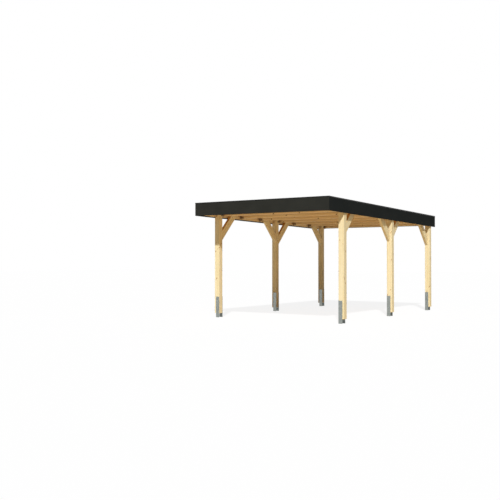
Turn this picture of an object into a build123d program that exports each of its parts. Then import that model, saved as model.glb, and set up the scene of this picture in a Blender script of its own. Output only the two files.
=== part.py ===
"""Free-standing timber carport with a flat roof that falls gently to the rear.

Six square posts in two rows stand in galvanised H-shaped anchors. Each post is rebated at its outer
side to carry a long purlin, and its remaining tongue is bolted to the purlin from inside. Knee braces
run from the posts to the purlins along the length only. Rafters hang between the purlins, a boarded
deck lies on them, and a dark fascia closes the roof on all four sides.

Lengths are in millimetres. +X is to the right seen from the front, +Y runs to the rear, +Z is up, and
the origin is on the ground at the middle of the plan.
"""

import math
import os

from build123d import *

# Roof as a whole
roof_width = 3064.0
roof_length = 5492.0
roof_fall = 97.0
front_clear_height = 2098.0

# Fascia boards and the sheet capping over their top edges
fascia_height = 263.0
fascia_thickness = 24.0
fascia_reveal = 20.0
rear_fascia_drop = 8.0
cap_sheet = 2.0
cap_leg = 18.0

# Timbers of the roof
purlin_width = 55.0
purlin_depth = 140.0
rafter_width = 60.0
rafter_depth = 120.0
deck_thickness = 19.0
membrane_thickness = 2.0
beam_chamfer = 3.0
rafters_per_bay = 3

# Posts
post_section = 115.0
post_foot_height = 86.0
post_chamfer = 4.0
tongue_height = 125.0
front_overhang = 639.0
rear_overhang = 201.0

# Knee braces
brace_depth = 140.0
brace_angle = 45.0
brace_lap = 50.0
brace_toe_gap = 100.0

# Post anchors
anchor_width = 80.0
anchor_sheet = 5.0
anchor_height = 433.0

# Rafter hangers
hanger_sheet = 2.0
hanger_reach = 84.0
hanger_height = 36.0
hanger_tail = 18.0

# Length that cuts run past the material
cut_overrun = 20.0

# Plan lines
half_width = roof_width / 2
half_length = roof_length / 2
board_inset = cap_sheet + fascia_thickness
outer_line = half_width - board_inset
purlin_line = outer_line - purlin_width
inner_line = outer_line - post_section
end_line = half_length - board_inset

# Levels over the lower edge of the fascia, measured straight up
purlin_low = fascia_reveal
purlin_high = purlin_low + purlin_depth
rafter_low = purlin_high - rafter_depth
deck_high = purlin_high + deck_thickness
cap_high = fascia_height + cap_sheet
fall_ratio = roof_fall / roof_length

# Front faces of the posts and of the rafters, from front to rear
front_post = front_overhang - half_length
rear_post = half_length - rear_overhang - post_section
post_rows = {"front": front_post, "middle": (front_post + rear_post) / 2, "rear": rear_post}
rafter_pitch = (rear_post - front_post) / 2 / rafters_per_bay
first_hung_rafter = front_post + post_section + hanger_sheet
hung_rafters = [first_hung_rafter + step * rafter_pitch for step in range(2 * rafters_per_bay + 1)]
all_rafters = [-end_line] + hung_rafters + [end_line - rafter_width]

# The upright toe of a brace stands clear of the hanger of the rafter that it rises towards
brace_reach = rafter_pitch - post_section - rafter_width - 2 * hanger_sheet - brace_toe_gap


def roof_height(y, level):
    """Height over the ground of a roof line at the place y along the carport."""
    return front_clear_height + level - (y + half_length) * fall_ratio


def roof_outline(y_front, y_rear, low, high):
    """Corners of a side view that has upright ends and follows the fall of the roof."""
    return [
        (y_front, roof_height(y_front, low)),
        (y_rear, roof_height(y_rear, low)),
        (y_rear, roof_height(y_rear, high)),
        (y_front, roof_height(y_front, high)),
    ]


def corner_plane(side, end):
    """Upright mitre plane through a roof corner; its positive side holds the long edge."""
    return Plane(origin=(side * half_width, end * half_length, 0), z_dir=(side, -end, 0))


def keep(piece, label):
    """Name a finished piece and write it."""
    piece.part.label = label
    export_step(piece.part, f"parts/{label}.step")


def make_post(side, y_front):
    """Square post, rebated at the top outside so that a tongue stands inside the purlin."""
    y_rear = y_front + post_section
    with BuildPart() as post:
        with BuildSketch(Plane.YZ.offset(side * outer_line)):
            with BuildLine():
                Polyline(
                    (y_front, post_foot_height),
                    (y_rear, post_foot_height),
                    (y_rear, roof_height(y_rear, purlin_low)),
                    (y_front, roof_height(y_front, purlin_low)),
                    close=True,
                )
            make_face()
        extrude(amount=-side * purlin_width)
        with BuildSketch(Plane.YZ.offset(side * purlin_line)):
            with BuildLine():
                Polyline(
                    (y_front, post_foot_height),
                    (y_rear, post_foot_height),
                    (y_rear, roof_height(y_rear, purlin_low + tongue_height)),
                    (y_front, roof_height(y_front, purlin_low + tongue_height)),
                    close=True,
                )
            make_face()
        extrude(amount=-side * (post_section - purlin_width))
        upright_edges = post.edges().filter_by(Axis.Z).group_by(Axis.X)
        chamfer(upright_edges[0] + upright_edges[-1], length=post_chamfer)
    return post


def make_anchor(side, y_front):
    """Two upright plates on the front and rear of a post, joined by a web under its foot."""
    y_rear = y_front + post_section
    with BuildPart() as anchor:
        with BuildSketch(Plane.YZ.offset(side * inner_line)):
            with Locations((y_front - anchor_sheet, 0), (y_rear, 0)):
                Rectangle(anchor_sheet, anchor_height, align=Align.MIN)
            with Locations((y_front, post_foot_height - anchor_sheet)):
                Rectangle(post_section, anchor_sheet, align=Align.MIN)
        extrude(amount=side * anchor_width)
    return anchor


def make_brace(side, y_face, run):
    """Knee brace from a post face up to the inner side of the purlin, with an upright toe.

    run is +1 for a brace that rises to the rear and -1 for one that rises to the front.
    """
    rise = math.tan(math.radians(brace_angle))
    upright_depth = brace_depth / math.cos(math.radians(brace_angle))
    y_toe = y_face + run * brace_reach
    toe_low = roof_height(y_toe, purlin_low)
    heel_low = toe_low - rise * brace_reach
    heel_high = heel_low + upright_depth
    top_level = purlin_low + brace_lap
    crown_reach = (roof_height(y_face, top_level) - heel_high) / (rise + run * fall_ratio)
    y_crown = y_face + run * crown_reach
    with BuildPart() as brace:
        with BuildSketch(Plane.YZ.offset(side * purlin_line)):
            with BuildLine():
                Polyline(
                    (y_face, heel_low),
                    (y_toe, toe_low),
                    (y_toe, roof_height(y_toe, top_level)),
                    (y_crown, roof_height(y_crown, top_level)),
                    (y_face, heel_high),
                    close=True,
                )
            make_face()
        extrude(amount=-side * (post_section - purlin_width))
        long_edges = brace.edges().filter_by(Axis((0, 0, 0), (0, run, rise)))
        chamfer(long_edges, length=beam_chamfer)
    return brace


def make_purlin(side):
    """Long beam in the rebates of one row of posts."""
    with BuildPart() as purlin:
        with BuildSketch(Plane.YZ.offset(side * outer_line)):
            with BuildLine():
                Polyline(*roof_outline(-end_line, end_line, purlin_low, purlin_high), close=True)
            make_face()
        extrude(amount=-side * purlin_width)
        long_edges = purlin.edges().filter_by(Axis((0, 0, 0), (0, 1, -fall_ratio)))
        chamfer(long_edges.sort_by(Axis.Z)[:2], length=beam_chamfer)
    return purlin


def make_rafter(y_front):
    """Cross beam between the purlins, level with their tops."""
    with BuildPart() as rafter:
        with BuildSketch(Plane.YZ.offset(-purlin_line)):
            with BuildLine():
                Polyline(
                    *roof_outline(y_front, y_front + rafter_width, rafter_low, purlin_high), close=True
                )
            make_face()
        extrude(amount=2 * purlin_line)
        chamfer(rafter.edges().filter_by(Axis.X).sort_by(Axis.Z)[:2], length=beam_chamfer)
    return rafter


def make_hangers(side):
    """Folded sheet shoes on one purlin, one under the end of each hung rafter.

    Each shoe is a channel round the lower part of the rafter, with a tail that runs down the purlin.
    """
    seat_low = rafter_low - hanger_sheet
    cheek_high = rafter_low + hanger_height
    with BuildPart() as hangers:
        for y_front in hung_rafters:
            y_rear = y_front + rafter_width
            cheek_lines = (y_front - hanger_sheet, y_rear + hanger_sheet)
            with BuildSketch(Plane.YZ.offset(side * purlin_line)):
                with BuildLine():
                    Polyline(*roof_outline(*cheek_lines, seat_low, cheek_high), close=True)
                make_face()
                with BuildLine():
                    Polyline(*roof_outline(y_front, y_rear, rafter_low, cheek_high), close=True)
                make_face(mode=Mode.SUBTRACT)
            extrude(amount=-side * hanger_reach)
            with BuildSketch(Plane.YZ.offset(side * purlin_line)):
                with BuildLine():
                    Polyline(*roof_outline(*cheek_lines, rafter_low - hanger_tail, rafter_low), close=True)
                make_face()
            extrude(amount=-side * hanger_sheet)
    return hangers


def make_deck():
    """Boarding over purlins and rafters, inside the fascia."""
    with BuildPart() as deck:
        with BuildSketch(Plane.YZ.offset(-outer_line)):
            with BuildLine():
                Polyline(*roof_outline(-end_line, end_line, purlin_high, deck_high), close=True)
            make_face()
        extrude(amount=2 * outer_line)
    return deck


def make_membrane():
    """Roof skin on the deck, turned up against the fascia all round."""
    inside_end = end_line - membrane_thickness
    inside_line = outer_line - membrane_thickness
    with BuildPart() as membrane:
        with BuildSketch(Plane.YZ.offset(-outer_line)):
            with BuildLine():
                Polyline(*roof_outline(-end_line, end_line, deck_high, fascia_height), close=True)
            make_face()
        extrude(amount=2 * outer_line)
        with BuildSketch(Plane.YZ.offset(-inside_line)):
            with BuildLine():
                Polyline(
                    *roof_outline(
                        -inside_end,
                        inside_end,
                        deck_high + membrane_thickness,
                        fascia_height + cut_overrun,
                    ),
                    close=True,
                )
            make_face()
        extrude(amount=2 * inside_line, mode=Mode.SUBTRACT)
    return membrane


def make_front_fascia():
    """Board across the front, mitred to the side boards."""
    with BuildPart() as fascia:
        with BuildSketch(Plane.YZ.offset(-half_width)):
            with BuildLine():
                Polyline(*roof_outline(cap_sheet - half_length, -end_line, 0, fascia_height), close=True)
            make_face()
        extrude(amount=roof_width)
        for side in (-1, 1):
            split(bisect_by=corner_plane(side, -1), keep=Keep.BOTTOM)
    return fascia


def make_side_fascia(side):
    """Board along one side, mitred at the front and run through to the rear edge."""
    with BuildPart() as fascia:
        with BuildSketch(Plane.YZ.offset(side * outer_line)):
            with BuildLine():
                Polyline(
                    *roof_outline(-half_length, half_length - cap_sheet, 0, fascia_height), close=True
                )
            make_face()
        extrude(amount=side * fascia_thickness)
        split(bisect_by=corner_plane(side, -1), keep=Keep.TOP)
    return fascia


def make_rear_fascia():
    """Board between the side boards at the rear, hanging a little below the rafters."""
    board_low = rafter_low - rear_fascia_drop
    with BuildPart() as fascia:
        with BuildSketch(Plane.YZ.offset(-outer_line)):
            with BuildLine():
                Polyline(
                    *roof_outline(end_line, half_length - cap_sheet, board_low, fascia_height), close=True
                )
            make_face()
        extrude(amount=2 * outer_line)
    return fascia


def make_end_cap(end):
    """Folded sheet over the top of the front or rear board and the skin behind it."""
    cap_low = fascia_height - cap_leg
    skin_line = end_line - membrane_thickness
    reach_lines = sorted((end * half_length, end * (skin_line - cap_sheet)))
    core_lines = sorted((end * (half_length - cap_sheet), end * skin_line))
    with BuildPart() as cap:
        with BuildSketch(Plane.YZ.offset(-half_width)):
            with BuildLine():
                Polyline(*roof_outline(*reach_lines, cap_low, cap_high), close=True)
            make_face()
            with BuildLine():
                Polyline(*roof_outline(*core_lines, cap_low, fascia_height), close=True)
            make_face(mode=Mode.SUBTRACT)
        extrude(amount=roof_width)
        for side in (-1, 1):
            split(bisect_by=corner_plane(side, end), keep=Keep.BOTTOM)
    return cap


def make_side_cap(side):
    """Folded sheet over the top of a side board and the skin behind it."""
    cap_low = fascia_height - cap_leg
    cap_width = 2 * cap_sheet + fascia_thickness + membrane_thickness
    core_width = fascia_thickness + membrane_thickness
    with BuildPart() as cap:
        with BuildSketch(Plane.YZ.offset(side * half_width)):
            with BuildLine():
                Polyline(*roof_outline(-half_length, half_length, cap_low, cap_high), close=True)
            make_face()
        extrude(amount=-side * cap_width)
        with BuildSketch(Plane.YZ.offset(side * (half_width - cap_sheet))):
            with BuildLine():
                Polyline(
                    *roof_outline(-half_length, half_length, cap_low - cut_overrun, fascia_height),
                    close=True,
                )
            make_face()
        extrude(amount=-side * core_width, mode=Mode.SUBTRACT)
        for end in (-1, 1):
            split(bisect_by=corner_plane(side, end), keep=Keep.TOP)
    return cap


os.makedirs("parts", exist_ok=True)

for side_name, side in {"left": -1, "right": 1}.items():
    for row_name, y_front in post_rows.items():
        keep(make_post(side, y_front), f"post_{row_name}_{side_name}")
        keep(make_anchor(side, y_front), f"anchor_{row_name}_{side_name}")
        if row_name != "rear":
            keep(make_brace(side, y_front + post_section, 1), f"brace_{row_name}_{side_name}_rearward")
        if row_name != "front":
            keep(make_brace(side, y_front, -1), f"brace_{row_name}_{side_name}_forward")
    keep(make_purlin(side), f"purlin_{side_name}")
    keep(make_hangers(side), f"rafter_hangers_{side_name}")
    keep(make_side_fascia(side), f"fascia_{side_name}")
    keep(make_side_cap(side), f"cap_{side_name}")

for number, y_front in enumerate(all_rafters, start=1):
    keep(make_rafter(y_front), f"rafter_{number}")

keep(make_deck(), "roof_deck")
keep(make_membrane(), "roof_membrane")
keep(make_front_fascia(), "fascia_front")
keep(make_rear_fascia(), "fascia_rear")
keep(make_end_cap(-1), "cap_front")
keep(make_end_cap(1), "cap_rear")
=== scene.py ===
"""Looks of a free-standing timber carport: planed spruce, dark fascia, galvanised anchors and roof skin."""

import math

import bpy
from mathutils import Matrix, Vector


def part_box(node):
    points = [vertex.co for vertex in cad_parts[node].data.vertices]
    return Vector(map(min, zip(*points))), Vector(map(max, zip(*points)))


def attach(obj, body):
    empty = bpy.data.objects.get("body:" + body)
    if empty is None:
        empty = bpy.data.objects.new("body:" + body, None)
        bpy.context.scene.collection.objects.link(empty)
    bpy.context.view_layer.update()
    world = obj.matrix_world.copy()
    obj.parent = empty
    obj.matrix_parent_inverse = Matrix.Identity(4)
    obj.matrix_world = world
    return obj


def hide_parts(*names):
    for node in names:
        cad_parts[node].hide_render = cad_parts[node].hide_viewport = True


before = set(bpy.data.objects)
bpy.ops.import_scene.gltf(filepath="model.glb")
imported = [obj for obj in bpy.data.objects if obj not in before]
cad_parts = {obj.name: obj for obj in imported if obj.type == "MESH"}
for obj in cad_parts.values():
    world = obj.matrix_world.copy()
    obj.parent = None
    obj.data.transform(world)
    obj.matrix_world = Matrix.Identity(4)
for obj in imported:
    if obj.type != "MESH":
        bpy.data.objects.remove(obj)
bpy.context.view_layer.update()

# Lengths are in metres. +X is right seen from the front, +Y runs to the rear, +Z is up.
MM = 0.001

# Names of the carport's pieces, by kind
SIDES = {"left": -1, "right": 1}
ROWS = ("front", "middle", "rear")
POSTS = [f"post_{row}_{side}" for side in SIDES for row in ROWS]
ANCHORS = [f"anchor_{row}_{side}" for side in SIDES for row in ROWS]
PURLINS = [f"purlin_{side}" for side in SIDES]
HANGERS = [f"rafter_hangers_{side}" for side in SIDES]
END_FASCIAS = ["fascia_front", "fascia_rear"]
SIDE_FASCIAS = [f"fascia_{side}" for side in SIDES]
CAPS = ["cap_front", "cap_rear", "cap_left", "cap_right"]
REARWARD_BRACES = sorted(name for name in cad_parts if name.endswith("_rearward"))
FORWARD_BRACES = sorted(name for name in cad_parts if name.endswith("_forward"))
rafter_count = sum(name.removeprefix("rafter_").isdigit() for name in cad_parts)
RAFTERS = [f"rafter_{number}" for number in range(1, rafter_count + 1)]

# Fall of the roof, read from its first and last rafter
first_rafter_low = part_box(RAFTERS[0])[0]
last_rafter_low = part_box(RAFTERS[-1])[0]
FALL_RATIO = (first_rafter_low.z - last_rafter_low.z) / (last_rafter_low.y - first_rafter_low.y)
FALL_ANGLE = -math.atan(FALL_RATIO)
SLOPE_STRETCH = math.hypot(1, FALL_RATIO)

# Sockets of a colour Mix node by number, because its number and vector sockets bear the same names
SHARE = 0
BELOW = 6
ABOVE = 7
MIXED = 2

# Sockets of a random number, for the same reason
LEAST = 2
MOST = 3
DRAWN = 1


def linear(hex_colour):
    """sRGB hex value as a linear colour."""
    channels = [int(hex_colour[place:place + 2], 16) / 255 for place in (1, 3, 5)]
    return [c / 12.92 if c <= 0.04045 else ((c + 0.055) / 1.055) ** 2.4 for c in channels] + [1.0]


def add(tree, kind, inputs=None, **settings):
    """Add a node with its settings; an input is fed by a socket or set to a value."""
    node = tree.nodes.new(kind)
    for name, value in settings.items():
        setattr(node, name, value)
    for key, value in (inputs or {}).items():
        if isinstance(value, bpy.types.NodeSocket):
            tree.links.new(value, node.inputs[key])
        else:
            node.inputs[key].default_value = value
    return node


# Materials


def new_material(name, **values):
    """Material with a Principled shader; values set the shader's own sockets."""
    material = bpy.data.materials.new(name)
    material.use_nodes = True
    tree = material.node_tree
    tree.nodes.clear()
    settings = {key.replace("_", " "): value for key, value in values.items()}
    shader = add(tree, "ShaderNodeBsdfPrincipled", settings)
    add(tree, "ShaderNodeOutputMaterial", {"Surface": shader.outputs["BSDF"]})
    return material, tree, shader


def with_painted_corner_shade(tree, colour, stain, reach, closed, clear, cover):
    """Colour that goes over to the stain colour as painted shade where other surfaces within reach stand
    close around it.

    The painted shade covers a share of cover where the openness is closed or less, and nothing where it is
    clear.
    """
    # Painted shade: the openness round each point darkens its colour towards the given shade colour
    hollow = add(tree, "ShaderNodeAmbientOcclusion", {"Distance": reach}, samples=8)
    shade_share = add(tree, "ShaderNodeMapRange", {
        "Value": hollow.outputs["AO"], "From Min": closed, "From Max": clear,
        "To Min": cover, "To Max": 0.0})
    shaded_colour = add(tree, "ShaderNodeMix", {
        SHARE: shade_share.outputs["Result"], BELOW: colour, ABOVE: linear(stain)}, data_type="RGBA")
    return shaded_colour.outputs[MIXED]


def distance_to_knot(tree, grain):
    """Distance to the nearest knot: balls round each whorl of branches, cut by the surface of the timber.

    The whorls stand evenly along the grain, at heights that differ from timber to timber.
    """
    knot_cell = 60 * MM
    whorl_spacing = 0.6
    whorl_drift = 4.0
    drift_size = 1 / 1.3
    whorl_shuffle = (1.31, 0.77, 0.0)
    split = add(tree, "ShaderNodeSeparateXYZ", {"Vector": grain})
    section = add(tree, "ShaderNodeCombineXYZ", {"X": split.outputs["X"], "Y": split.outputs["Y"]})
    drift = add(tree, "ShaderNodeTexNoise", {
        "Vector": section.outputs["Vector"], "Scale": 1 / drift_size, "Detail": 0.0})
    run = add(tree, "ShaderNodeMath", {0: split.outputs["Z"], 1: 1 / whorl_spacing}, operation="MULTIPLY")
    height = add(tree, "ShaderNodeMath", {
        0: drift.outputs["Fac"], 1: whorl_drift, 2: run.outputs["Value"]}, operation="MULTIPLY_ADD")
    whorl = add(tree, "ShaderNodeMath", {0: height.outputs["Value"]}, operation="ROUND")
    past_whorl = add(tree, "ShaderNodeMath", {
        0: height.outputs["Value"], 1: whorl.outputs["Value"]}, operation="SUBTRACT")
    along = add(tree, "ShaderNodeMath", {
        0: past_whorl.outputs["Value"], 1: whorl_spacing}, operation="MULTIPLY")
    shuffled = add(tree, "ShaderNodeVectorMath", {
        0: whorl.outputs["Value"], 1: whorl_shuffle, 2: section.outputs["Vector"]},
        operation="MULTIPLY_ADD")
    cells = add(tree, "ShaderNodeTexVoronoi", {
        "Vector": shuffled.outputs["Vector"], "Scale": 1 / knot_cell}, voronoi_dimensions="2D")
    across = add(tree, "ShaderNodeMath", {
        0: cells.outputs["Distance"], 1: knot_cell}, operation="MULTIPLY")
    to_knot = add(tree, "ShaderNodeCombineXYZ", {"X": across.outputs["Value"], "Y": along.outputs["Value"]})
    distance = add(tree, "ShaderNodeVectorMath", {0: to_knot.outputs["Vector"]}, operation="LENGTH")
    return distance.outputs["Value"]


def late_wood_of_rings(tree, grain, knot_distance, swirl_reach):
    """Darkness of the growth rings: bands along the grain that wander and bend round the knots.

    The rings are drawn about three times as wide as they are, because at their true width they would be
    too fine to show.
    """
    ring_spacing = 14 * MM
    swirl_depth = 1.6 * ring_spacing
    wander_width = 0.16
    wander_length = 1.1
    wander_depth = 0.11
    slant_share = 0.62
    late_wood_sharpness = 2.4
    swirl = add(tree, "ShaderNodeMapRange", {
        "Value": knot_distance, "From Min": 0.0, "From Max": swirl_reach, "To Min": swirl_depth,
        "To Max": 0.0}, interpolation_type="SMOOTHERSTEP")
    wander_place = add(tree, "ShaderNodeMapping", {
        "Vector": grain, "Scale": (1 / wander_width, 1 / wander_width, 1 / wander_length)})
    wander = add(tree, "ShaderNodeTexNoise", {
        "Vector": wander_place.outputs["Vector"], "Scale": 1.0, "Detail": 1.5, "Roughness": 0.45})
    split = add(tree, "ShaderNodeSeparateXYZ", {"Vector": grain})
    across = add(tree, "ShaderNodeMath", {
        0: split.outputs["X"], 1: slant_share, 2: split.outputs["Y"]}, operation="MULTIPLY_ADD")
    drifted = add(tree, "ShaderNodeMath", {
        0: wander.outputs["Fac"], 1: wander_depth, 2: across.outputs["Value"]}, operation="MULTIPLY_ADD")
    bent = add(tree, "ShaderNodeMath", {
        0: swirl.outputs["Result"], 1: drifted.outputs["Value"]}, operation="ADD")
    phase = add(tree, "ShaderNodeMath", {
        0: bent.outputs["Value"], 1: 1 / ring_spacing}, operation="MULTIPLY")
    ring = add(tree, "ShaderNodeMath", {0: phase.outputs["Value"]}, operation="FRACT")
    late_wood = add(tree, "ShaderNodeMath", {
        0: ring.outputs["Value"], 1: late_wood_sharpness}, operation="POWER")
    return late_wood.outputs["Value"]


def planed_spruce(name, tones, grain_turn, board_tint=0.0, upper_shade_tone=None, corner_shade_share=0.9):
    """Planed spruce: pale straight grain, soft streaks along it, and rings of brown knots here and there.

    The tones are the palest wood, the streaks, the late wood and the knots. grain_turn turns the pattern
    so that the grain runs along the piece. Boards differ by up to board_tint. Upper faces take on the
    upper_shade_tone, a painted shade, if there is one. Inner corners are painted a deeper brown as painted
    shade, by a share of up to corner_shade_share.
    """
    pale, mid, dark, knot_tone = (linear(tone) for tone in tones)
    streak_width = 45 * MM
    streak_length = 1.4
    fibre_width = 2.5 * MM
    fibre_length = 0.12
    knot_radius = 17 * MM
    knot_heart = 0.7 * knot_radius
    swirl_reach = 4 * knot_radius
    corner_reach = 0.12
    ring_cover = 0.34
    fibre_relief = 0.6
    material, tree, shader = new_material(name, IOR=1.5, Specular_IOR_Level=0.25)
    place = add(tree, "ShaderNodeTexCoord")
    turned = add(tree, "ShaderNodeMapping", {"Vector": place.outputs["Object"], "Rotation": grain_turn})
    grain = turned.outputs["Vector"]
    knot_distance = distance_to_knot(tree, grain)
    late_wood = late_wood_of_rings(tree, grain, knot_distance, swirl_reach)

    # Streaks and fibres drawn out along the grain, the fibres coarser than they are so that they show
    streak_place = add(tree, "ShaderNodeMapping", {
        "Vector": grain, "Scale": (1 / streak_width, 1 / streak_width, 1 / streak_length)})
    streaks = add(tree, "ShaderNodeTexNoise", {
        "Vector": streak_place.outputs["Vector"], "Scale": 1.0, "Detail": 2.0, "Roughness": 0.5})
    fibre_place = add(tree, "ShaderNodeMapping", {
        "Vector": grain, "Scale": (1 / fibre_width, 1 / fibre_width, 1 / fibre_length)})
    fibres = add(tree, "ShaderNodeTexNoise", {
        "Vector": fibre_place.outputs["Vector"], "Scale": 1.0, "Detail": 2.0, "Roughness": 0.6})

    # Colour: streaks, boards, rings, fibres, painted shade on upper faces, knots and painted shade in
    # corners, one over the other
    streak_share = add(tree, "ShaderNodeMapRange", {
        "Value": streaks.outputs["Fac"], "From Min": 0.3, "From Max": 0.72, "To Min": 0.0, "To Max": 1.0})
    wood = add(tree, "ShaderNodeMix", {
        SHARE: streak_share.outputs["Result"], BELOW: pale, ABOVE: mid}, data_type="RGBA")
    if board_tint:
        tint = add(tree, "ShaderNodeAttribute", attribute_name="board_tint")
        tint_share = add(tree, "ShaderNodeMath", {
            0: tint.outputs["Fac"], 1: board_tint}, operation="MULTIPLY")
        wood = add(tree, "ShaderNodeMix", {
            SHARE: tint_share.outputs["Value"], BELOW: wood.outputs[MIXED], ABOVE: dark}, data_type="RGBA")
    ring_share = add(tree, "ShaderNodeMath", {0: late_wood, 1: ring_cover}, operation="MULTIPLY")
    ringed = add(tree, "ShaderNodeMix", {
        SHARE: ring_share.outputs["Value"], BELOW: wood.outputs[MIXED], ABOVE: dark}, data_type="RGBA")
    fibre_share = add(tree, "ShaderNodeMapRange", {
        "Value": fibres.outputs["Fac"], "From Min": 0.45, "From Max": 0.8, "To Min": 0.0, "To Max": 0.22})
    wood = add(tree, "ShaderNodeMix", {
        SHARE: fibre_share.outputs["Result"], BELOW: ringed.outputs[MIXED], ABOVE: dark}, data_type="RGBA")
    # Painted shade: faces that point upwards go over to the darker upper tone
    if upper_shade_tone:
        surface = add(tree, "ShaderNodeNewGeometry")
        facing = add(tree, "ShaderNodeSeparateXYZ", {"Vector": surface.outputs["Normal"]})
        upper_shade_share = add(tree, "ShaderNodeMapRange", {
            "Value": facing.outputs["Z"], "From Min": 0.3, "From Max": 0.6, "To Min": 0.0, "To Max": 0.9})
        wood = add(tree, "ShaderNodeMix", {
            SHARE: upper_shade_share.outputs["Result"], BELOW: wood.outputs[MIXED], ABOVE: linear(upper_shade_tone)},
            data_type="RGBA")
    knot_share = add(tree, "ShaderNodeMapRange", {
        "Value": knot_distance, "From Min": knot_heart, "From Max": knot_radius, "To Min": 0.95,
        "To Max": 0.0}, interpolation_type="SMOOTHSTEP")
    knotted = add(tree, "ShaderNodeMix", {
        SHARE: knot_share.outputs["Result"], BELOW: wood.outputs[MIXED], ABOVE: knot_tone},
        data_type="RGBA")
    # Painted shade: inner corners, where other timber stands close, go over to a deep brown
    shaded_colour = with_painted_corner_shade(
        tree, knotted.outputs[MIXED], "#855016", reach=corner_reach, closed=0.45, clear=1.0,
        cover=corner_shade_share)
    tree.links.new(shaded_colour, shader.inputs["Base Color"])

    roughness = add(tree, "ShaderNodeMapRange", {
        "Value": late_wood, "From Min": 0.0, "From Max": 1.0, "To Min": 0.66, "To Max": 0.5})
    tree.links.new(roughness.outputs["Result"], shader.inputs["Roughness"])
    relief = add(tree, "ShaderNodeMath", {
        0: fibres.outputs["Fac"], 1: fibre_relief, 2: late_wood}, operation="MULTIPLY_ADD")
    bump = add(tree, "ShaderNodeBump", {
        "Height": relief.outputs["Value"], "Strength": 0.35, "Distance": 0.4 * MM})
    tree.links.new(bump.outputs["Normal"], shader.inputs["Normal"])
    return material


def anthracite_coating(name, deep, pale):
    """Board with an opaque matt anthracite coat: nearly black, faintly streaked along its length."""
    streak_height = 9 * MM
    streak_length = 0.5
    cloud_size = 0.35
    grit = 1.6 * MM
    streak_weight = 0.6
    grit_relief = 0.4
    material, tree, shader = new_material(name, IOR=1.5, Specular_IOR_Level=0.0)
    place = add(tree, "ShaderNodeTexCoord")
    streak_place = add(tree, "ShaderNodeMapping", {
        "Vector": place.outputs["Object"],
        "Scale": (1 / streak_length, 1 / streak_length, 1 / streak_height)})
    streaks = add(tree, "ShaderNodeTexNoise", {
        "Vector": streak_place.outputs["Vector"], "Scale": 1.0, "Detail": 3.0, "Roughness": 0.6})
    cloud = add(tree, "ShaderNodeTexNoise", {
        "Vector": place.outputs["Object"], "Scale": 1 / cloud_size, "Detail": 2.0, "Roughness": 0.5})
    grain = add(tree, "ShaderNodeTexNoise", {
        "Vector": place.outputs["Object"], "Scale": 1 / grit, "Detail": 1.0, "Roughness": 0.5})
    mixed = add(tree, "ShaderNodeMath", {
        0: streaks.outputs["Fac"], 1: streak_weight, 2: cloud.outputs["Fac"]}, operation="MULTIPLY_ADD")
    share = add(tree, "ShaderNodeMapRange", {
        "Value": mixed.outputs["Value"], "From Min": 0.5, "From Max": 1.1, "To Min": 0.0, "To Max": 1.0})
    colour = add(tree, "ShaderNodeMix", {
        SHARE: share.outputs["Result"], BELOW: linear(deep), ABOVE: linear(pale)}, data_type="RGBA")
    tree.links.new(colour.outputs[MIXED], shader.inputs["Base Color"])
    roughness = add(tree, "ShaderNodeMapRange", {
        "Value": streaks.outputs["Fac"], "From Min": 0.3, "From Max": 0.7, "To Min": 0.5, "To Max": 0.62})
    tree.links.new(roughness.outputs["Result"], shader.inputs["Roughness"])
    relief = add(tree, "ShaderNodeMath", {
        0: grain.outputs["Fac"], 1: grit_relief, 2: streaks.outputs["Fac"]}, operation="MULTIPLY_ADD")
    bump = add(tree, "ShaderNodeBump", {
        "Height": relief.outputs["Value"], "Strength": 0.25, "Distance": 0.4 * MM})
    tree.links.new(bump.outputs["Normal"], shader.inputs["Normal"])
    return material


def powder_coated_sheet():
    """Folded aluminium sheet, powder coated in anthracite: nearly black, with a fine orange-peel sheen."""
    cloud_size = 0.2
    orange_peel = 2.5 * MM
    material, tree, shader = new_material(
        "powder_coated_aluminium", Roughness=0.42, IOR=1.5, Specular_IOR_Level=0.15)
    place = add(tree, "ShaderNodeTexCoord")
    cloud = add(tree, "ShaderNodeTexNoise", {
        "Vector": place.outputs["Object"], "Scale": 1 / cloud_size, "Detail": 2.0, "Roughness": 0.5})
    colour = add(tree, "ShaderNodeMix", {
        SHARE: cloud.outputs["Fac"], BELOW: linear("#191B1B"), ABOVE: linear("#202221")}, data_type="RGBA")
    tree.links.new(colour.outputs[MIXED], shader.inputs["Base Color"])
    peel = add(tree, "ShaderNodeTexNoise", {
        "Vector": place.outputs["Object"], "Scale": 1 / orange_peel, "Detail": 1.0, "Roughness": 0.5})
    bump = add(tree, "ShaderNodeBump", {
        "Height": peel.outputs["Fac"], "Strength": 0.2, "Distance": 0.2 * MM})
    tree.links.new(bump.outputs["Normal"], shader.inputs["Normal"])
    return material


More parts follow.
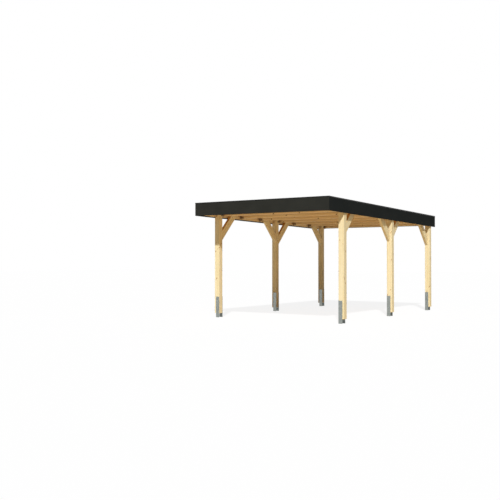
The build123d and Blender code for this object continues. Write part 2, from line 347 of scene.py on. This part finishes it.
def galvanised_steel():
    """Hot-dip galvanised steel: grey zinc with flaky spangles that differ in tone and gloss.

    The pocket between the plates, under the foot of the post, and other close corners are darkened as
    painted shade.
    """
    spangle = 9 * MM
    ragged_edge = 0.4 * spangle
    stain_size = 70 * MM
    pocket_reach = 130 * MM
    flake_weight = 0.45
    material, tree, shader = new_material("hot_dip_galvanised_steel", Metallic=1.0)
    place = add(tree, "ShaderNodeTexCoord")
    warp = add(tree, "ShaderNodeTexNoise", {
        "Vector": place.outputs["Object"], "Scale": 1 / spangle, "Detail": 1.0, "Roughness": 0.5})
    warped = add(tree, "ShaderNodeVectorMath", {
        0: warp.outputs["Color"], 1: (ragged_edge, ragged_edge, ragged_edge), 2: place.outputs["Object"]},
        operation="MULTIPLY_ADD")
    flakes = add(tree, "ShaderNodeTexVoronoi", {"Vector": warped.outputs["Vector"], "Scale": 1 / spangle})
    flake_tone = add(tree, "ShaderNodeSeparateColor", {"Color": flakes.outputs["Color"]})
    stain = add(tree, "ShaderNodeTexNoise", {
        "Vector": place.outputs["Object"], "Scale": 1 / stain_size, "Detail": 3.0, "Roughness": 0.55})
    mixed = add(tree, "ShaderNodeMath", {
        0: flake_tone.outputs["Red"], 1: flake_weight, 2: stain.outputs["Fac"]}, operation="MULTIPLY_ADD")
    share = add(tree, "ShaderNodeMapRange", {
        "Value": mixed.outputs["Value"], "From Min": 0.35, "From Max": 1.05, "To Min": 0.0, "To Max": 1.0})
    colour = add(tree, "ShaderNodeMix", {
        SHARE: share.outputs["Result"], BELOW: linear("#888D89"), ABOVE: linear("#A4A9A4")},
        data_type="RGBA")
    # Painted shade: close corners, chiefly the pocket under the post, go over to a dark grey
    pocket_shaded = with_painted_corner_shade(
        tree, colour.outputs[MIXED], "#2E3232", reach=pocket_reach, closed=0.12, clear=0.45, cover=0.9)
    tree.links.new(pocket_shaded, shader.inputs["Base Color"])
    roughness = add(tree, "ShaderNodeMapRange", {
        "Value": flake_tone.outputs["Green"], "From Min": 0.0, "From Max": 1.0, "To Min": 0.38,
        "To Max": 0.6})
    tree.links.new(roughness.outputs["Result"], shader.inputs["Roughness"])
    bump = add(tree, "ShaderNodeBump", {
        "Height": stain.outputs["Fac"], "Strength": 0.15, "Distance": 0.5 * MM})
    tree.links.new(bump.outputs["Normal"], shader.inputs["Normal"])
    return material


def zinc_with_painted_shade():
    """Galvanised sheet, nails and nuts under the roof: dull zinc, toned browner and darker as painted
    shade, with painted shade in the inner corners.
    """
    bloom = 14 * MM
    corner_reach = 0.2
    material, tree, shader = new_material(
        "galvanised_sheet_painted_shade", Metallic=0.5, Roughness=0.6, Specular_IOR_Level=0.05)
    place = add(tree, "ShaderNodeTexCoord")
    noise = add(tree, "ShaderNodeTexNoise", {
        "Vector": place.outputs["Object"], "Scale": 1 / bloom, "Detail": 3.0, "Roughness": 0.6})
    # Painted shade: the zinc is toned a dark brownish grey for the shade under the roof
    colour = add(tree, "ShaderNodeMix", {
        SHARE: noise.outputs["Fac"], BELOW: linear("#85745A"), ABOVE: linear("#A08F73")}, data_type="RGBA")
    # Painted shade: inner corners go over to a near-black brown
    shaded_colour = with_painted_corner_shade(
        tree, colour.outputs[MIXED], "#2A1606", reach=corner_reach, closed=0.1, clear=0.5, cover=0.8)
    tree.links.new(shaded_colour, shader.inputs["Base Color"])
    return material


def zinc_plated_steel():
    """Bright zinc-plated bolts and screws, slightly mottled."""
    mottle = 6 * MM
    material, tree, shader = new_material("zinc_plated_steel", Metallic=0.9, Roughness=0.38)
    place = add(tree, "ShaderNodeTexCoord")
    noise = add(tree, "ShaderNodeTexNoise", {
        "Vector": place.outputs["Object"], "Scale": 1 / mottle, "Detail": 2.0, "Roughness": 0.5})
    colour = add(tree, "ShaderNodeMix", {
        SHARE: noise.outputs["Fac"], BELOW: linear("#8F9493"), ABOVE: linear("#BCC0BD")}, data_type="RGBA")
    tree.links.new(colour.outputs[MIXED], shader.inputs["Base Color"])
    return material


def roofing_membrane():
    """Black rubber roofing sheet: dull, faintly dusty, not quite flat."""
    ripple = 0.18
    dust_patch = 0.6
    material, tree, shader = new_material("rubber_roofing_membrane", Roughness=0.75, IOR=1.5)
    place = add(tree, "ShaderNodeTexCoord")
    dust = add(tree, "ShaderNodeTexNoise", {
        "Vector": place.outputs["Object"], "Scale": 1 / dust_patch, "Detail": 5.0, "Roughness": 0.6})
    share = add(tree, "ShaderNodeMapRange", {
        "Value": dust.outputs["Fac"], "From Min": 0.4, "From Max": 0.75, "To Min": 0.0, "To Max": 1.0})
    colour = add(tree, "ShaderNodeMix", {
        SHARE: share.outputs["Result"], BELOW: linear("#2A2B2B"), ABOVE: linear("#3D3D3A")},
        data_type="RGBA")
    tree.links.new(colour.outputs[MIXED], shader.inputs["Base Color"])
    waves = add(tree, "ShaderNodeTexNoise", {
        "Vector": place.outputs["Object"], "Scale": 1 / ripple, "Detail": 1.0, "Roughness": 0.5})
    bump = add(tree, "ShaderNodeBump", {
        "Height": waves.outputs["Fac"], "Strength": 0.35, "Distance": 6 * MM})
    tree.links.new(bump.outputs["Normal"], shader.inputs["Normal"])
    return material


# Tones of the palest wood, the streaks, the late wood and the knots
POST_TONES = ("#F3ECCB", "#E9DDB0", "#CCAD72", "#AC8050")
BEAM_TONES = ("#F5E8C2", "#E9D3A5", "#C69C62", "#43240C")

# Painted shade on the upper faces of the braces, and how much painted shade darkens the corners of the
# timbers in the open
BRACE_TOP_SHADE = "#E8AC58"
OPEN_CORNER_SHADE = 0.2

# Turns that lay the grain along each kind of timber
UPRIGHT = (0, 0, 0)
CROSSWISE = (0, -math.radians(90), 0)
LENGTHWISE = (math.radians(90), 0, 0)
REARWARD = (math.radians(45), 0, 0)
FORWARD = (-math.radians(45), 0, 0)

post_spruce = planed_spruce("planed_spruce_posts", POST_TONES, UPRIGHT, corner_shade_share=OPEN_CORNER_SHADE)
rafter_spruce = planed_spruce("planed_spruce_rafters", BEAM_TONES, CROSSWISE)
purlin_spruce = planed_spruce("planed_spruce_purlins", BEAM_TONES, LENGTHWISE)
rearward_spruce = planed_spruce(
    "planed_spruce_rearward_braces", POST_TONES, REARWARD, upper_shade_tone=BRACE_TOP_SHADE,
    corner_shade_share=OPEN_CORNER_SHADE)
forward_spruce = planed_spruce(
    "planed_spruce_forward_braces", POST_TONES, FORWARD, upper_shade_tone=BRACE_TOP_SHADE,
    corner_shade_share=OPEN_CORNER_SHADE)
board_spruce = planed_spruce("planed_spruce_boards", BEAM_TONES, LENGTHWISE, board_tint=0.5)
end_coating = anthracite_coating("coated_board_anthracite", "#2B2D2B", "#323432")
# Painted shade: the side boards take a darker, cooler coat than the end boards, for the weaker light on the
# sides
shaded_side_coating = anthracite_coating("coated_board_anthracite_sides_painted_shade", "#24292B", "#2A2F31")
cap_coating = powder_coated_sheet()
zinc = galvanised_steel()
shade_toned_zinc = zinc_with_painted_shade()
bright_zinc = zinc_plated_steel()
membrane = roofing_membrane()

for names, material in (
    (POSTS, post_spruce),
    (PURLINS, purlin_spruce),
    (RAFTERS, rafter_spruce),
    (REARWARD_BRACES, rearward_spruce),
    (FORWARD_BRACES, forward_spruce),
    (END_FASCIAS, end_coating),
    (SIDE_FASCIAS, shaded_side_coating),
    (CAPS, cap_coating),
    (ANCHORS, zinc),
    (HANGERS, shade_toned_zinc),
    (["roof_membrane"], membrane),
):
    for name in names:
        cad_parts[name].data.materials.clear()
        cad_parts[name].data.materials.append(material)


# Repeated pieces


def new_object(name, mesh):
    """Object at the origin with this mesh."""
    made = bpy.data.objects.new(name, mesh)
    bpy.context.scene.collection.objects.link(made)
    return made


def new_tree(name, **inputs):
    """Geometry tree with a geometry input and output, and named inputs given by their socket kinds."""
    tree = bpy.data.node_groups.new(name, "GeometryNodeTree")
    tree.interface.new_socket("Geometry", in_out="INPUT", socket_type="NodeSocketGeometry")
    for label, kind in inputs.items():
        tree.interface.new_socket(label, in_out="INPUT", socket_type=f"NodeSocket{kind}")
    tree.interface.new_socket("Geometry", in_out="OUTPUT", socket_type="NodeSocketGeometry")
    return tree, add(tree, "NodeGroupInput").outputs


def close_tree(tree, instances, material):
    """End of a tree: its instances made real, in their material."""
    real = add(tree, "GeometryNodeRealizeInstances", {"Geometry": instances})
    finished = add(tree, "GeometryNodeSetMaterial", {
        "Geometry": real.outputs["Geometry"], "Material": material})
    add(tree, "NodeGroupOutput", {"Geometry": finished.outputs["Geometry"]})


def grown(name, mesh, tree, slot, **values):
    """Run a tree over a mesh and keep the result as a plain piece of the carport."""
    piece = new_object(name, mesh)
    modifier = piece.modifiers.new(tree.name, "NODES")
    modifier.node_group = tree
    sockets = [item for item in tree.interface.items_tree if item.in_out == "INPUT"]
    identifiers = {socket.name: socket.identifier for socket in sockets}
    for label, value in values.items():
        modifier[identifiers[label]] = value
    depsgraph = bpy.context.evaluated_depsgraph_get()
    result = bpy.data.meshes.new_from_object(
        piece.evaluated_get(depsgraph), preserve_all_data_layers=True, depsgraph=depsgraph)
    piece.modifiers.clear()
    piece.data = result
    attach(piece, "root")
    return piece


def marks(name, places):
    """Loose points with the direction that each fastener faces."""
    mesh = bpy.data.meshes.new(name)
    mesh.from_pydata([point for point, facing in places], [], [])
    facings = mesh.attributes.new("facing", "FLOAT_VECTOR", "POINT")
    for entry, (point, facing) in zip(facings.data, places):
        entry.vector = facing
    return mesh


def hex_fastener_tree():
    """Washer, hexagon and round end, set on each point and turned a little differently."""
    tree, given = new_tree(
        "hex_fasteners", Across="Float", Height="Float", WasherRadius="Float", WasherSheet="Float",
        EndRadius="Float", EndHeight="Float", Material="Material")
    washer = add(tree, "GeometryNodeMeshCylinder", {
        "Vertices": 28, "Radius": given["WasherRadius"], "Depth": given["WasherSheet"]})
    corner = add(tree, "ShaderNodeMath", {0: given["Across"], 1: 1 / math.sqrt(3)}, operation="MULTIPLY")
    hexagon = add(tree, "GeometryNodeMeshCylinder", {
        "Vertices": 6, "Radius": corner.outputs["Value"], "Depth": given["Height"]})
    tip = add(tree, "GeometryNodeMeshCylinder", {
        "Vertices": 20, "Radius": given["EndRadius"], "Depth": given["EndHeight"]})
    half_sheet = add(tree, "ShaderNodeMath", {0: given["WasherSheet"], 1: 0.5}, operation="MULTIPLY")
    half_height = add(tree, "ShaderNodeMath", {
        0: given["Height"], 1: 0.5, 2: given["WasherSheet"]}, operation="MULTIPLY_ADD")
    top = add(tree, "ShaderNodeMath", {0: given["Height"], 1: given["WasherSheet"]}, operation="ADD")
    tip_height = add(tree, "ShaderNodeMath", {
        0: given["EndHeight"], 1: 0.5, 2: top.outputs["Value"]}, operation="MULTIPLY_ADD")
    stack = add(tree, "GeometryNodeJoinGeometry")
    for solid, height in ((washer, half_sheet), (hexagon, half_height), (tip, tip_height)):
        rise = add(tree, "ShaderNodeCombineXYZ", {"Z": height.outputs["Value"]})
        moved = add(tree, "GeometryNodeTransform", {
            "Geometry": solid.outputs["Mesh"], "Translation": rise.outputs["Vector"]})
        tree.links.new(moved.outputs["Geometry"], stack.inputs["Geometry"])
    facing = add(tree, "GeometryNodeInputNamedAttribute", {"Name": "facing"}, data_type="FLOAT_VECTOR")
    aligned = add(tree, "FunctionNodeAlignRotationToVector", {
        "Vector": facing.outputs["Attribute"]}, axis="Z")
    spin = add(tree, "FunctionNodeRandomValue", {
        "Min": (0, 0, 0), "Max": (0, 0, math.radians(60)), "Seed": 7}, data_type="FLOAT_VECTOR")
    turned = add(tree, "FunctionNodeRotateRotation", {
        "Rotation": aligned.outputs["Rotation"], "Rotate By": spin.outputs["Value"]},
        rotation_space="LOCAL")
    set_out = add(tree, "GeometryNodeInstanceOnPoints", {
        "Points": given["Geometry"], "Instance": stack.outputs["Geometry"],
        "Rotation": turned.outputs["Rotation"]})
    close_tree(tree, set_out.outputs["Instances"], given["Material"])
    return tree


def round_head_tree():
    """Low tapered heads of screws and nails, set on each point."""
    crown_share = 0.62
    tree, given = new_tree("round_heads", Radius="Float", Height="Float", Material="Material")
    crown = add(tree, "ShaderNodeMath", {0: given["Radius"], 1: crown_share}, operation="MULTIPLY")
    head = add(tree, "GeometryNodeMeshCone", {
        "Vertices": 14, "Radius Top": crown.outputs["Value"], "Radius Bottom": given["Radius"],
        "Depth": given["Height"]})
    facing = add(tree, "GeometryNodeInputNamedAttribute", {"Name": "facing"}, data_type="FLOAT_VECTOR")
    aligned = add(tree, "FunctionNodeAlignRotationToVector", {
        "Vector": facing.outputs["Attribute"]}, axis="Z")
    set_out = add(tree, "GeometryNodeInstanceOnPoints", {
        "Points": given["Geometry"], "Instance": head.outputs["Mesh"],
        "Rotation": aligned.outputs["Rotation"]})
    close_tree(tree, set_out.outputs["Instances"], given["Material"])
    return tree


def strip_tree():
    """Boards or strips of the roof in a row, with eased edges, tilted to the fall."""
    tree, given = new_tree(
        "roof_strips", Count="Int", Width="Float", Thickness="Float", Chamfer="Float", Run="Vector",
        Pitch="Vector", Start="Vector", Fall="Float", Material="Material")
    outline = add(tree, "GeometryNodeCurvePrimitiveQuadrilateral", {
        "Width": given["Width"], "Height": given["Thickness"]})
    eased = add(tree, "GeometryNodeFilletCurve", {
        "Curve": outline.outputs["Curve"], "Radius": given["Chamfer"], "Count": 1}, mode="POLY")
    run = add(tree, "GeometryNodeCurvePrimitiveLine", {"End": given["Run"]})
    strip = add(tree, "GeometryNodeCurveToMesh", {
        "Curve": run.outputs["Curve"], "Profile Curve": eased.outputs["Curve"], "Fill Caps": True})
    rows = add(tree, "GeometryNodeMeshLine", {"Count": given["Count"], "Offset": given["Pitch"]})
    set_out = add(tree, "GeometryNodeInstanceOnPoints", {
        "Points": rows.outputs["Mesh"], "Instance": strip.outputs["Mesh"]})
    chance = add(tree, "FunctionNodeRandomValue", {"Seed": 11}, data_type="FLOAT")
    tinted = add(tree, "GeometryNodeStoreNamedAttribute", {
        "Geometry": set_out.outputs["Instances"], "Name": "board_tint", "Value": chance.outputs[DRAWN]},
        data_type="FLOAT", domain="INSTANCE")
    tilt = add(tree, "ShaderNodeCombineXYZ", {"X": given["Fall"]})
    fallen = add(tree, "GeometryNodeTransform", {
        "Geometry": tinted.outputs["Geometry"], "Translation": given["Start"],
        "Rotation": tilt.outputs["Vector"]})
    close_tree(tree, fallen.outputs["Geometry"], given["Material"])
    return tree


def weld_tree():
    """Overlapping drops of weld metal along each edge."""
    tree, given = new_tree("weld_beads", Radius="Float", Spacing="Float", Material="Material")
    curves = add(tree, "GeometryNodeMeshToCurve", {"Mesh": given["Geometry"]})
    points = add(tree, "GeometryNodeResampleCurve", {
        "Curve": curves.outputs["Curve"], "Length": given["Spacing"]}, mode="LENGTH")
    drop = add(tree, "GeometryNodeMeshUVSphere", {"Segments": 8, "Rings": 5, "Radius": given["Radius"]})
    swell = add(tree, "FunctionNodeRandomValue", {LEAST: 0.85, MOST: 1.15, "Seed": 3}, data_type="FLOAT")
    set_out = add(tree, "GeometryNodeInstanceOnPoints", {
        "Points": points.outputs["Curve"], "Instance": drop.outputs["Mesh"],
        "Scale": swell.outputs[DRAWN]})
    close_tree(tree, set_out.outputs["Instances"], given["Material"])
    return tree


hex_fasteners = hex_fastener_tree()
round_heads = round_head_tree()
roof_strips = strip_tree()
weld_beads = weld_tree()


# Deck of the roof: boards along the carport, seen from below

deck_low, deck_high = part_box("roof_deck")
deck_length = deck_high.y - deck_low.y
deck_thickness = deck_high.z - deck_low.z - FALL_RATIO * deck_length
board_count = 31
board_cover = (deck_high.x - deck_low.x) / board_count


def deck_underside(y):
    """Height of the lower face of the deck at a place along the carport."""
    return deck_low.z + FALL_RATIO * (deck_high.y - y)


boards = grown(
    "roof_deck_boards", bpy.data.meshes.new("roof_deck_boards"), roof_strips, "deck_boards",
    Count=board_count, Width=board_cover, Thickness=deck_thickness, Chamfer=4 * MM,
    Run=(0, SLOPE_STRETCH * deck_length, 0), Pitch=(board_cover, 0, 0),
    Start=(deck_low.x + board_cover / 2, deck_low.y, deck_underside(deck_low.y) + deck_thickness / 2),
    Fall=FALL_ANGLE, Material=board_spruce)
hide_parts("roof_deck")


# Laps of the roof skin, where one sheet covers the edge of the next

skin_thickness = 2 * MM
lap_count = 3
lap_width = 90 * MM
lap_height = 3 * MM
lap_end_gap = 8 * MM
lap_pitch = deck_length / (lap_count + 1)
first_lap = deck_low.y + lap_pitch
skin_top = deck_underside(first_lap) + deck_thickness + skin_thickness
grown("roof_skin_laps", bpy.data.meshes.new("roof_skin_laps"), roof_strips, "roof_membrane",
      Count=lap_count, Width=lap_width, Thickness=lap_height, Chamfer=1.2 * MM,
      Run=(deck_high.x - deck_low.x - 2 * lap_end_gap, 0, 0), Pitch=(0, SLOPE_STRETCH * lap_pitch, 0),
      Start=(deck_low.x + lap_end_gap, first_lap, skin_top), Fall=FALL_ANGLE, Material=membrane)


# Bolts through the anchors: heads on the front plates, nuts on the rear ones

anchor_bolt_heights = (190 * MM, 340 * MM)
bolt_heads = []
bolt_nuts = []
for name in ANCHORS:
    low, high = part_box(name)
    middle = (low.x + high.x) / 2
    for height in anchor_bolt_heights:
        bolt_heads.append(((middle, low.y, height), (0, -1, 0)))
        bolt_nuts.append(((middle, high.y, height), (0, 1, 0)))
grown("anchor_bolt_heads", marks("anchor_bolt_heads", bolt_heads), hex_fasteners, "galvanised_steel",
      Across=19 * MM, Height=7.5 * MM, WasherRadius=12 * MM, WasherSheet=2.5 * MM,
      EndRadius=7 * MM, EndHeight=0.4 * MM, Material=bright_zinc)
grown("anchor_bolt_nuts", marks("anchor_bolt_nuts", bolt_nuts), hex_fasteners, "galvanised_steel",
      Across=19 * MM, Height=10 * MM, WasherRadius=12 * MM, WasherSheet=2.5 * MM,
      EndRadius=6 * MM, EndHeight=5 * MM, Material=bright_zinc)


# Bolts that hold the purlins to the tongues of the posts: nuts on the inner faces

tongue_bolt_drops = (32 * MM, 92 * MM)
tongue_bolt_steps = (-22 * MM, 22 * MM)
tongue_nuts = []
for row in ROWS:
    for side_name, side in SIDES.items():
        low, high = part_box(f"post_{row}_{side_name}")
        inner_face = high.x if side < 0 else low.x
        middle = (low.y + high.y) / 2
        for drop, step in zip(tongue_bolt_drops, tongue_bolt_steps):
            tongue_nuts.append(((inner_face, middle + step, high.z - drop), (-side, 0, 0)))
grown("purlin_bolt_nuts", marks("purlin_bolt_nuts", tongue_nuts), hex_fasteners, "galvanised_steel",
      Across=17 * MM, Height=8 * MM, WasherRadius=15 * MM, WasherSheet=3 * MM,
      EndRadius=5 * MM, EndHeight=5 * MM, Material=shade_toned_zinc)


# Screws of the braces: two into the purlin, two up through the heel into the post

lap_screw_insets = (30 * MM, 105 * MM)
lap_screw_drop = 25 * MM
heel_screw_steps = (55 * MM, 105 * MM)
slant = math.sqrt(0.5)
brace_screws = []
for names, run in ((REARWARD_BRACES, 1), (FORWARD_BRACES, -1)):
    for name in names:
        low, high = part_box(name)
        side = 1 if low.x > 0 else -1
        toe = high.y if run > 0 else low.y
        heel = low.y if run > 0 else high.y
        inner_face = low.x if side > 0 else high.x
        middle = (low.x + high.x) / 2
        for inset in lap_screw_insets:
            brace_screws.append(((inner_face, toe - run * inset, high.z - lap_screw_drop), (-side, 0, 0)))
        for step in heel_screw_steps:
            place = (middle, heel + run * slant * step, low.z + slant * step)
            brace_screws.append((place, (0, run * slant, -slant)))
grown("brace_screws", marks("brace_screws", brace_screws), round_heads, "galvanised_steel",
      Radius=7.5 * MM, Height=2.6 * MM, Material=bright_zinc)


# Nails of the rafter hangers, in the cheeks and in the tail under the rafter

hanger_sheet = 2 * MM
cheek_nail_insets = (20 * MM, 50 * MM)
cheek_nail_rise = 19 * MM
tail_nail_drop = 10 * MM
tail_nail_inset = 14 * MM
hanger_nails = []
for name in RAFTERS[1:-1]:
    low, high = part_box(name)
    rafter_depth = high.z - low.z - FALL_RATIO * (high.y - low.y)
    for end, purlin_face in ((-1, low.x), (1, high.x)):
        for facing, face in ((-1, low.y), (1, high.y)):
            seat = deck_underside(face) - rafter_depth
            cheek = face + facing * hanger_sheet
            tail = purlin_face - end * hanger_sheet
            for inset in cheek_nail_insets:
                place = (purlin_face - end * inset, cheek, seat + cheek_nail_rise)
                hanger_nails.append((place, (0, facing, 0)))
            place = (tail, face - facing * tail_nail_inset, seat - tail_nail_drop)
            hanger_nails.append((place, (-end, 0, 0)))
grown("hanger_nails", marks("hanger_nails", hanger_nails), round_heads, "galvanised_steel",
      Radius=4 * MM, Height=1.4 * MM, Material=shade_toned_zinc)


# Screws of the fascia boards, painted over, in two rows that follow the fall

screw_pitch = 0.6
screw_inset = 70 * MM
lower_row = 45 * MM
upper_row = 52 * MM
fascia_screws = []
for name in END_FASCIAS + SIDE_FASCIAS:
    low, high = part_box(name)
    if name in SIDE_FASCIAS:
        start, end, slope = low.y, high.y, FALL_RATIO
        face, outward = (high.x, 1) if low.x > 0 else (low.x, -1)
    else:
        start, end, slope = low.x, high.x, 0.0
        face, outward = (high.y, 1) if low.y > 0 else (low.y, -1)
    screw_run = end - start - 2 * screw_inset
    screw_count = round(screw_run / screw_pitch) + 1
    for number in range(screw_count):
        along = start + screw_inset + screw_run * number / (screw_count - 1)
        upper = high.z - slope * (along - start) - upper_row
        lower = low.z + slope * (end - along) + lower_row
        for height in (upper, lower):
            if name in SIDE_FASCIAS:
                fascia_screws.append(((face, along, height), (outward, 0, 0)))
            else:
                fascia_screws.append(((along, face, height), (0, outward, 0)))
grown("fascia_screws", marks("fascia_screws", fascia_screws), round_heads, "fascia_coating",
      Radius=5.5 * MM, Height=1.5 * MM, Material=end_coating)


# Welds between the plates and the web of every anchor

web_low = 81 * MM
anchor_sheet = 5 * MM
weld_ends = []
for name in ANCHORS:
    low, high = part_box(name)
    for y in (low.y + anchor_sheet, high.y - anchor_sheet):
        weld_ends += [(low.x + anchor_sheet, y, web_low), (high.x - anchor_sheet, y, web_low)]
weld_lines = bpy.data.meshes.new("anchor_welds")
weld_lines.from_pydata(weld_ends, [(first, first + 1) for first in range(0, len(weld_ends), 2)], [])
grown("anchor_welds", weld_lines, weld_beads, "galvanised_steel",
      Radius=4 * MM, Spacing=4.5 * MM, Material=zinc)


# Stage, light and camera


def in_view(tree):
    """1 for what the camera, reflections and glass show, 0 for light that falls on the carport."""
    path = add(tree, "ShaderNodeLightPath")
    mirrored = add(tree, "ShaderNodeMath", {
        0: path.outputs["Is Camera Ray"], 1: path.outputs["Is Glossy Ray"]}, operation="MAXIMUM")
    seen = add(tree, "ShaderNodeMath", {
        0: mirrored.outputs["Value"], 1: path.outputs["Is Transmission Ray"]}, operation="MAXIMUM")
    return seen.outputs["Value"]


def make_floor():
    """Wide pale floor that shows white, keeps a soft shadow and throws warm light up under the roof."""
    reach = 60.0
    white_share = 0.82
    mesh = bpy.data.meshes.new("floor")
    corners = [(-reach, -reach, 0), (reach, -reach, 0), (reach, reach, 0), (-reach, reach, 0)]
    mesh.from_pydata(corners, [], [(0, 1, 2, 3)])
    floor = new_object("floor", mesh)
    material = bpy.data.materials.new("pale_floor")
    material.use_nodes = True
    tree = material.node_tree
    tree.nodes.clear()
    cream = add(tree, "ShaderNodeBsdfDiffuse", {"Color": linear("#F0D2A8")})
    chalk = add(tree, "ShaderNodeBsdfDiffuse", {"Color": linear("#F2F2F2")})
    white = add(tree, "ShaderNodeEmission", {"Color": linear("#FFFFFF"), "Strength": 1.06})
    shown = add(tree, "ShaderNodeMixShader", {
        0: white_share, 1: chalk.outputs["BSDF"], 2: white.outputs["Emission"]})
    mixed = add(tree, "ShaderNodeMixShader", {
        0: in_view(tree), 1: cream.outputs["BSDF"], 2: shown.outputs["Shader"]})
    add(tree, "ShaderNodeOutputMaterial", {"Surface": mixed.outputs["Shader"]})
    floor.data.materials.append(material)


def make_world(front_level, rear_level):
    """Soft light all round, more of it from the front; the camera and reflections see white."""
    world = bpy.data.worlds.new("studio")
    world.use_nodes = True
    tree = world.node_tree
    tree.nodes.clear()
    place = add(tree, "ShaderNodeTexCoord")
    direction = add(tree, "ShaderNodeSeparateXYZ", {"Vector": place.outputs["Generated"]})
    level = add(tree, "ShaderNodeMapRange", {
        "Value": direction.outputs["Y"], "From Min": -1.0, "From Max": 1.0,
        "To Min": front_level, "To Max": rear_level})
    strength = add(tree, "ShaderNodeMapRange", {
        "Value": in_view(tree), "From Min": 0.0, "From Max": 1.0,
        "To Min": level.outputs["Result"], "To Max": 1.0})
    sky = add(tree, "ShaderNodeBackground", {
        "Color": linear("#FFFFFF"), "Strength": strength.outputs["Result"]})
    add(tree, "ShaderNodeOutputWorld", {"Surface": sky.outputs["Background"]})
    bpy.context.scene.world = world


def make_key_light(towards, strength, spread):
    """Key light from the front right with nearly sharp shadows; towards points from the carport to it."""
    data = bpy.data.lights.new("key_light", "SUN")
    data.energy = strength
    data.angle = spread
    lamp = bpy.data.objects.new("key_light", data)
    bpy.context.scene.collection.objects.link(lamp)
    lamp.rotation_euler = Vector(towards).to_track_quat("Z", "Y").to_euler()


def make_camera(place, turn, tilt):
    """Camera at the photo's place: right of the front, low, turned to the left and tilted slightly up."""
    photo_pixels = 500
    focal_pixels = 740.8
    far_limit = 1000.0
    data = bpy.data.cameras.new("camera")
    data.lens = focal_pixels / photo_pixels * data.sensor_width
    data.clip_end = far_limit
    camera = bpy.data.objects.new("camera", data)
    bpy.context.scene.collection.objects.link(camera)
    camera.location = place
    camera.rotation_euler = (math.radians(90) + tilt, 0, turn)
    bpy.context.scene.camera = camera


make_floor()
make_world(front_level=0.17, rear_level=0.08)
make_key_light(towards=(0.3735, -0.683, 0.628), strength=3.3, spread=math.radians(2.5))
make_camera(place=(7.7717, -14.6519, 1.1923), turn=math.radians(33.766), tilt=math.radians(0.803))
bpy.context.scene.view_settings.view_transform = "Standard"
